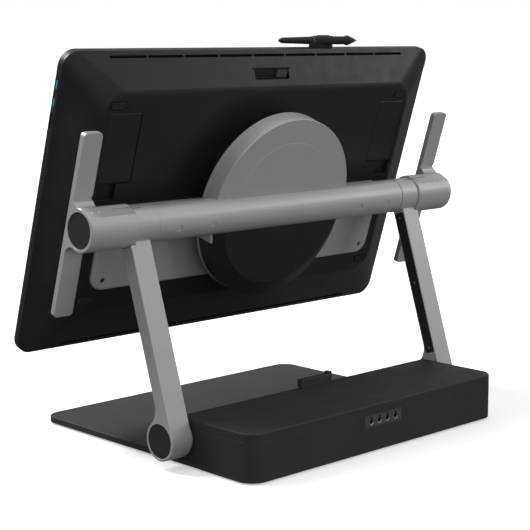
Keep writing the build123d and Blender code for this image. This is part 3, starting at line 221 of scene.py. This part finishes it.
def rubber(name, colour, rough=0.78):
    """Moulded rubber with a dusty bloom."""
    g = Graph(name)
    g.shader.inputs["Specular IOR Level"].default_value = 0.35
    bloom = g.spread(g.noise(160.0, detail=6.0, roughness=0.65), 0.0, 1.0)
    g.link(g.mix(bloom, shade(colour, 0.85), shade(colour, 1.5)), g.shader.inputs["Base Color"])
    g.link(g.spread(g.noise(500.0), rough - 0.06, rough + 0.08), g.shader.inputs["Roughness"])
    g.link(g.bump(g.noise(900.0, detail=4.0), 0.00008, g.soft_edge(0.0005)), g.shader.inputs["Normal"])
    return g.material


def screen_glass(name):
    """Etched cover glass over a dark panel: the picture area shows faintly lighter than its border."""
    border = (0.004, 0.004, 0.005)
    picture = (0.013, 0.014, 0.017)
    g = Graph(name)
    low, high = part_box("lcd_panel")
    split = g.add("ShaderNodeSeparateXYZ")
    g.link(g.coords, split.inputs["Vector"])
    masks = []
    for axis, near, far in (("X", low.x, high.x), ("Z", low.z, high.z)):
        centre, half = (near + far) / 2, (far - near) / 2
        offset = g.add("ShaderNodeMath", operation="SUBTRACT")
        offset.inputs[1].default_value = centre
        g.link(split.outputs[axis], offset.inputs[0])
        size = g.add("ShaderNodeMath", operation="ABSOLUTE")
        g.link(offset.outputs[0], size.inputs[0])
        inside = g.add("ShaderNodeMath", operation="LESS_THAN")
        inside.inputs[1].default_value = half
        g.link(size.outputs[0], inside.inputs[0])
        masks.append(inside.outputs[0])
    both = g.add("ShaderNodeMath", operation="MULTIPLY")
    g.link(masks[0], both.inputs[0])
    g.link(masks[1], both.inputs[1])
    g.link(g.mix(both.outputs[0], border, picture), g.shader.inputs["Base Color"])
    g.link(g.spread(g.noise(60.0, detail=6.0), 0.24, 0.3), g.shader.inputs["Roughness"])
    g.shader.inputs["Coat Weight"].default_value = 0.4
    g.shader.inputs["Coat Roughness"].default_value = 0.16
    g.link(g.bump(g.noise(3200.0, detail=1.0), 0.000004, g.soft_edge(0.0004)), g.shader.inputs["Normal"])
    return g.material


def circuit_board(name, colour):
    """Solder mask with copper runs under it."""
    g = Graph(name)
    runs = g.noise(420.0, detail=1.0, stretch=(1.0, 6.0, 6.0))
    copper = g.mix(g.spread(runs, 0.0, 1.0), shade(colour, 0.7), shade(colour, 1.6))
    g.link(copper, g.shader.inputs["Base Color"])
    g.link(g.spread(runs, 0.3, 0.42), g.shader.inputs["Roughness"])
    g.link(g.bump(runs, 0.00003), g.shader.inputs["Normal"])
    return g.material


PRINT = "mark_white"     # printed marks, which have no slot in the record


def make_materials():
    """One finish for each slot of the record, and one for printed marks."""
    charcoal = (0.0250, 0.0250, 0.0255)
    silver = (0.47, 0.47, 0.475)
    return {
        "deck_charcoal": moulded("deck_charcoal", charcoal, 0.62, specular=0.30, edge=0.0012, edge_highlight=2.2),
        "plate_steel": moulded("plate_steel", (0.012, 0.012, 0.012), 0.7, specular=0.3),
        "foot_rubber": rubber("foot_rubber", (0.012, 0.012, 0.012)),
        "stand_silver": blasted_metal("stand_silver", silver, 0.40),
        "disc_silver": blasted_metal("disc_silver", shade(silver, 0.95), 0.42),
        "cap_black": moulded("cap_black", (0.016, 0.016, 0.0165), 0.5, specular=0.4),
        "cone_black": moulded("cone_black", (0.013, 0.013, 0.0135), 0.42, specular=0.42, edge=0.001),
        "shaft_steel": ground_steel("shaft_steel", (0.5, 0.5, 0.51), 0.3, (8.0, 1.0, 1.0)),
        "bush_bronze": ground_steel("bush_bronze", (0.5, 0.34, 0.14), 0.4, (6.0, 1.0, 1.0)),
        "frame_cast": blasted_metal("frame_cast", (0.33, 0.33, 0.335), 0.6, grain=0.0002, edge=0.0012),
        "screw_steel": ground_steel("screw_steel", (0.55, 0.55, 0.56), 0.34, (1.0, 1.0, 1.0)),
        "bezel_black": moulded("bezel_black", (0.011, 0.011, 0.0115), 0.45, specular=0.42, grain=0.00003),
        "glass_front": screen_glass("glass_front"),
        "panel_dark": moulded("panel_dark", (0.01, 0.01, 0.013), 0.3, grain=0.00001),
        "tray_metal": blasted_metal("tray_metal", (0.5, 0.5, 0.52), 0.4, metallic=1.0),
        "board_green": circuit_board("board_green", (0.01, 0.08, 0.035)),
        "cover_black": moulded("cover_black", (0.011, 0.011, 0.0113), 0.36, edge=0.0008, edge_highlight=1.4),
        "grille_black": moulded("grille_black", (0.006, 0.006, 0.006), 0.7, specular=0.25),
        "socket_metal": ground_steel("socket_metal", (0.08, 0.08, 0.085), 0.35, (1.0, 4.0, 1.0)),
        "tongue_cyan": moulded("tongue_cyan", (0.03, 0.42, 0.75), 0.4, grain=0.00001, edge_highlight=1.2),
        "switch_dark": moulded("switch_dark", (0.05, 0.05, 0.052), 0.46, specular=0.4),
        "pen_black": moulded("pen_black", (0.013, 0.013, 0.0135), 0.5, specular=0.4, edge=0.0004),
        "pen_grip_rubber": rubber("pen_grip_rubber", (0.013, 0.013, 0.0135), 0.66),
        PRINT: moulded(PRINT, (0.6, 0.6, 0.61), 0.6, specular=0.3, grain=0.00001, edge_highlight=1.0),
    }


MATERIALS = make_materials()
for part in frame["record"]["subparts"]:
    node = NODES[part["node"]]
    node.data.materials.clear()
    node.data.materials.append(MATERIALS[part["material_slot"]])

# ------------------------------------------------------------------ small pieces

TILT = radians(17.0)             # of the screen, leaning back
UP_BACK = Vector((0.0, sin(TILT), cos(TILT)))
OUT_BACK = Vector((0.0, cos(TILT), -sin(TILT)))
GLASS_HALF = 1.05 * MM
glass_low, glass_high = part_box("front_glass")
SCREEN = (glass_low + glass_high) / 2 - GLASS_HALF * OUT_BACK
FLAT_DEPTH = 46.0 * MM           # of the back's flat field, from the glass


def on_back(x, up, out):
    """A point from display measures: x, up the back, and out of it from the glass."""
    return SCREEN + Vector((x, 0.0, 0.0)) + up * UP_BACK + out * OUT_BACK


def keep(name, mesh, body, slot):
    """A new piece with a slot's finish, riding on a body. Print has no slot to name."""
    piece = bpy.data.objects.new(name, mesh)
    bpy.context.scene.collection.objects.link(piece)
    mesh.materials.append(MATERIALS[slot])
    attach(piece, body)


def arc(centre, radius, start, end, steps):
    """Points along an arc, with angles in degrees."""
    turns = [radians(start + (end - start) * step / steps) for step in range(steps + 1)]
    return [(centre[0] + radius * cos(turn), centre[1] + radius * sin(turn)) for turn in turns]


def raised(outlines, place, height):
    """A mesh of flat outlines raised by a height. place puts (u, v, w) in the world."""
    bm = bmesh.new()
    for outline in outlines:
        foot = [bm.verts.new(place(u, v, 0.0)) for u, v in outline]
        top = [bm.verts.new(place(u, v, height)) for u, v in outline]
        bm.faces.new(top)
        bm.faces.new(list(reversed(foot)))
        for index in range(len(outline)):
            after = (index + 1) % len(outline)
            bm.faces.new((foot[index], foot[after], top[after], top[index]))
    bmesh.ops.recalc_face_normals(bm, faces=bm.faces)
    mesh = bpy.data.meshes.new("raised")
    bm.to_mesh(mesh)
    bm.free()
    return mesh


def bead(path, place, radius, sides=8):
    """A round bead along an open path, closed at its ends. place puts (u, v, w) in the world."""
    bm = bmesh.new()
    rings = []
    for index, (u, v) in enumerate(path):
        before, after = path[max(index - 1, 0)], path[min(index + 1, len(path) - 1)]
        along = Vector((after[0] - before[0], after[1] - before[1])).normalized()
        ring = []
        for side in range(sides):
            turn = 2 * pi * side / sides
            across = radius * cos(turn)
            ring.append(bm.verts.new(place(u - along.y * across, v + along.x * across, radius * sin(turn))))
        rings.append(ring)
    for one, two in zip(rings, rings[1:]):
        for side in range(sides):
            after = (side + 1) % sides
            bm.faces.new((one[side], one[after], two[after], two[side]))
    bm.faces.new(rings[0])
    bm.faces.new(list(reversed(rings[-1])))
    bmesh.ops.recalc_face_normals(bm, faces=bm.faces)
    mesh = bpy.data.meshes.new("bead")
    bm.to_mesh(mesh)
    bm.free()
    for face in mesh.polygons:
        face.use_smooth = True
    return mesh


def padlock(open_by):
    """Outlines of a small padlock mark, with its shackle turned open by an angle."""
    body = [(-1.7, -1.6), (1.7, -1.6), (1.7, 0.9), (-1.7, 0.9)]
    shift = 0.9 if open_by else 0.0
    outer = arc((shift, 1.5), 1.35, 180 - open_by, 0 - open_by, 14)
    inner = arc((shift, 1.5), 0.85, 0 - open_by, 180 - open_by, 14)
    legs = [] if open_by else [(1.35, 0.9), (0.85, 0.9)]
    shackle = outer + legs + inner
    if not open_by:
        shackle = shackle + [(-0.85, 0.9), (-1.35, 0.9)]
    return [[(u * MM, v * MM) for u, v in outline] for outline in (body, shackle)]


FLAT_TURN = radians(60.0)        # of the flat on the lever housings, from level
FLAT_REACH = 30.9 * MM           # of the flat, from the tube's axis
MARK_HEIGHT = 0.05 * MM
MARKS = ((14.0 * MM, 0), (27.0 * MM, 45))      # past the lock slider: closed, then open


def add_lock_marks():
    """Printed padlocks beside each lock slider."""
    low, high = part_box("centre_tube")
    axis = (low + high) / 2
    outward = Vector((0.0, cos(FLAT_TURN), sin(FLAT_TURN)))
    across = Vector((0.0, -sin(FLAT_TURN), cos(FLAT_TURN)))
    for side, sign in (("right", 1), ("left", -1)):
        low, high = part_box("lock_slider_" + side)
        end = high.x if sign > 0 else -low.x
        for number, (past, open_by) in enumerate(MARKS):
            middle = Vector((sign * (end + past), axis.y, axis.z))

            def place(u, v, w):
                return middle + Vector((-u, 0.0, 0.0)) + v * across + (FLAT_REACH + w) * outward

            mesh = raised(padlock(open_by), place, MARK_HEIGHT)
            keep(f"lock_mark_{side}_{number}", mesh, "lever_" + side, PRINT)


LIP_R = 1.0 * MM
LIP_SUNK = 1.6 * LIP_R           # of the bead's middle, below the back's flat field
NOTCH_W = 38.0 * MM
NOTCH_DEEP = 27.0 * MM
NOTCH_CORNER = 3.0 * MM
NOTCH_INSET = 5.0 * MM


def add_notch_lips():
    """Glossy rounded lips along the lower and outer edges of the legs' finger notches."""
    for side, sign in (("right", 1), ("left", -1)):
        low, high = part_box("leg_" + side)
        outer = (high.x if sign > 0 else -low.x) - LIP_R
        inner = outer - NOTCH_W + 2 * LIP_R
        foot = (Vector((0.0, low.y, low.z)) - SCREEN).dot(UP_BACK)
        bottom = foot - NOTCH_DEEP + LIP_R
        corner = arc((outer - NOTCH_CORNER, bottom + NOTCH_CORNER), NOTCH_CORNER, 0, -90, 6)
        path = [(outer, foot - NOTCH_INSET)] + corner + [(inner + NOTCH_CORNER, bottom)]

        def place(u, v, w):
            return on_back(sign * u, v, FLAT_DEPTH - LIP_SUNK + w)

        keep("notch_lip_" + side, bead(path, place, LIP_R), "display", "cap_black")


KEYHOLES = (-28.5 * MM, -9.5 * MM, 9.5 * MM, 28.5 * MM)
KEYHOLE_R = 4.2 * MM
KEYHOLE_DROP = 2.4 * MM          # of the round end, below the plate's middle
KEYHOLE_LIP_R = 0.7 * MM
KEYHOLE_LIP_IN = 0.3 * MM


def add_keyhole_lips():
    """Rounded lower lips of the cable keyholes, in silver: a painted highlight along the keyholes' lower
    edges.
    """
    low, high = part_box("grommet_plate")
    middle = (low + high) / 2
    for number, x in enumerate(KEYHOLES):
        path = arc((x, middle.z - KEYHOLE_DROP), KEYHOLE_R - KEYHOLE_LIP_IN, 180, 360, 18)

        def place(u, v, w):
            return Vector((u, high.y - KEYHOLE_LIP_R + w, v))

        # The silver finish is a painted highlight on the lit lower edges of the keyholes.
        keep(f"keyhole_lip_{number}", bead(path, place, KEYHOLE_LIP_R), "base", "stand_silver")


add_lock_marks()
add_notch_lips()
add_keyhole_lips()

# ------------------------------------------------------------------ studio

KEY_FROM = Vector((0.32, -0.58, 0.77))      # to the key: left of the view, high, a little behind
KEY_POWER = 3.4
KEY_SIZE = radians(24.0)
MIDDLE = (0.0, 0.0, 0.35)
FLOOR_HALF = 30.0
FLOOR_GLOW = 0.42
BACKDROP_R = 28.0
SKY_DOWN = (0.10, 0.10, 0.10, 1.0)
SKY_LEVEL = (0.16, 0.16, 0.16, 1.0)
SKY_UP = (0.85, 0.85, 0.85, 1.0)


def make_floor():
    """A plain white floor, which takes soft shadows and throws no light back up."""
    mesh = bpy.data.meshes.new("floor")
    half = FLOOR_HALF
    corners = [(-half, -half, 0), (half, -half, 0), (half, half, 0), (-half, half, 0)]
    mesh.from_pydata(corners, [], [(0, 1, 2, 3)])
    floor = bpy.data.objects.new("floor", mesh)
    bpy.context.scene.collection.objects.link(floor)
    g = Graph("floor")
    g.link(g.mix(g.noise(3.0), (0.78, 0.78, 0.78), (0.80, 0.80, 0.80)), g.shader.inputs["Base Color"])
    g.shader.inputs["Roughness"].default_value = 1.0
    g.shader.inputs["Specular IOR Level"].default_value = 0.0
    g.shader.inputs["Emission Color"].default_value = (1.0, 1.0, 1.0, 1.0)
    g.shader.inputs["Emission Strength"].default_value = FLOOR_GLOW
    mesh.materials.append(g.material)
    floor.visible_diffuse = False
    floor.visible_glossy = False


def make_backdrop():
    """A white wall far behind the object, seen by the camera only."""
    bpy.ops.mesh.primitive_uv_sphere_add(radius=BACKDROP_R, segments=48, ring_count=24)
    wall = bpy.context.object
    wall.name = "backdrop"
    material = bpy.data.materials.new("backdrop")
    material.use_nodes = True
    tree = material.node_tree
    tree.nodes.clear()
    glow = tree.nodes.new("ShaderNodeEmission")
    glow.inputs["Color"].default_value = (1.0, 1.0, 1.0, 1.0)
    glow.inputs["Strength"].default_value = 1.0
    out = tree.nodes.new("ShaderNodeOutputMaterial")
    tree.links.new(glow.outputs[0], out.inputs["Surface"])
    wall.data.materials.append(material)
    wall.visible_diffuse = False
    wall.visible_glossy = False
    wall.visible_shadow = False
    wall.visible_transmission = False


def add_area(name, at, aim, size, power, glossy=True):
    """A soft square light, which polished surfaces mirror unless glossy is off."""
    data = bpy.data.lights.new(name, "AREA")
    data.energy = power
    data.size = size
    light = bpy.data.objects.new(name, data)
    light.location = at
    light.rotation_euler = (Vector(aim) - Vector(at)).to_track_quat("-Z", "Y").to_euler()
    light.visible_glossy = glossy
    bpy.context.scene.collection.objects.link(light)


def make_sky():
    """A dim room: light above, grey at the horizon, dark below."""
    world = bpy.data.worlds.new("studio")
    world.use_nodes = True
    tree = world.node_tree
    where = tree.nodes.new("ShaderNodeTexCoord")
    split = tree.nodes.new("ShaderNodeSeparateXYZ")
    tree.links.new(where.outputs["Generated"], split.inputs["Vector"])
    level = tree.nodes.new("ShaderNodeMapRange")
    level.inputs["From Min"].default_value = -1.0
    tree.links.new(split.outputs["Z"], level.inputs["Value"])
    ramp = tree.nodes.new("ShaderNodeValToRGB")
    ramp.color_ramp.elements[0].color = SKY_DOWN
    ramp.color_ramp.elements[1].color = SKY_UP
    middle = ramp.color_ramp.elements.new(0.5)
    middle.color = SKY_LEVEL
    tree.links.new(level.outputs["Result"], ramp.inputs["Fac"])
    tree.links.new(ramp.outputs["Color"], tree.nodes["Background"].inputs["Color"])
    bpy.context.scene.world = world


def make_lights():
    """A soft key from the left and above, large fills on the camera's side, and the dim room."""
    data = bpy.data.lights.new("key", "SUN")
    data.energy = KEY_POWER
    data.angle = KEY_SIZE
    key = bpy.data.objects.new("key", data)
    key.rotation_euler = (-KEY_FROM).to_track_quat("-Z", "Y").to_euler()
    bpy.context.scene.collection.objects.link(key)
    add_area("fill", (1.8, 2.6, 0.9), MIDDLE, 1.6, 20.0, glossy=False)
    add_area("side", (2.8, -0.3, 1.1), MIDDLE, 1.2, 6.0, glossy=False)
    add_area("corner", (0.5, 2.9, 1.0), (0.4, 0.0, 0.55), 0.5, 6.0)
    add_area("slope", (-2.7, 1.7, 1.6), MIDDLE, 1.2, 7.0)
    add_area("low", (-1.5, 2.9, 0.15), (-0.1, 0.0, 0.4), 1.2, 34.0, glossy=False)
    make_sky()
    bpy.context.scene.view_settings.view_transform = "Standard"


make_floor()
make_backdrop()
make_lights()
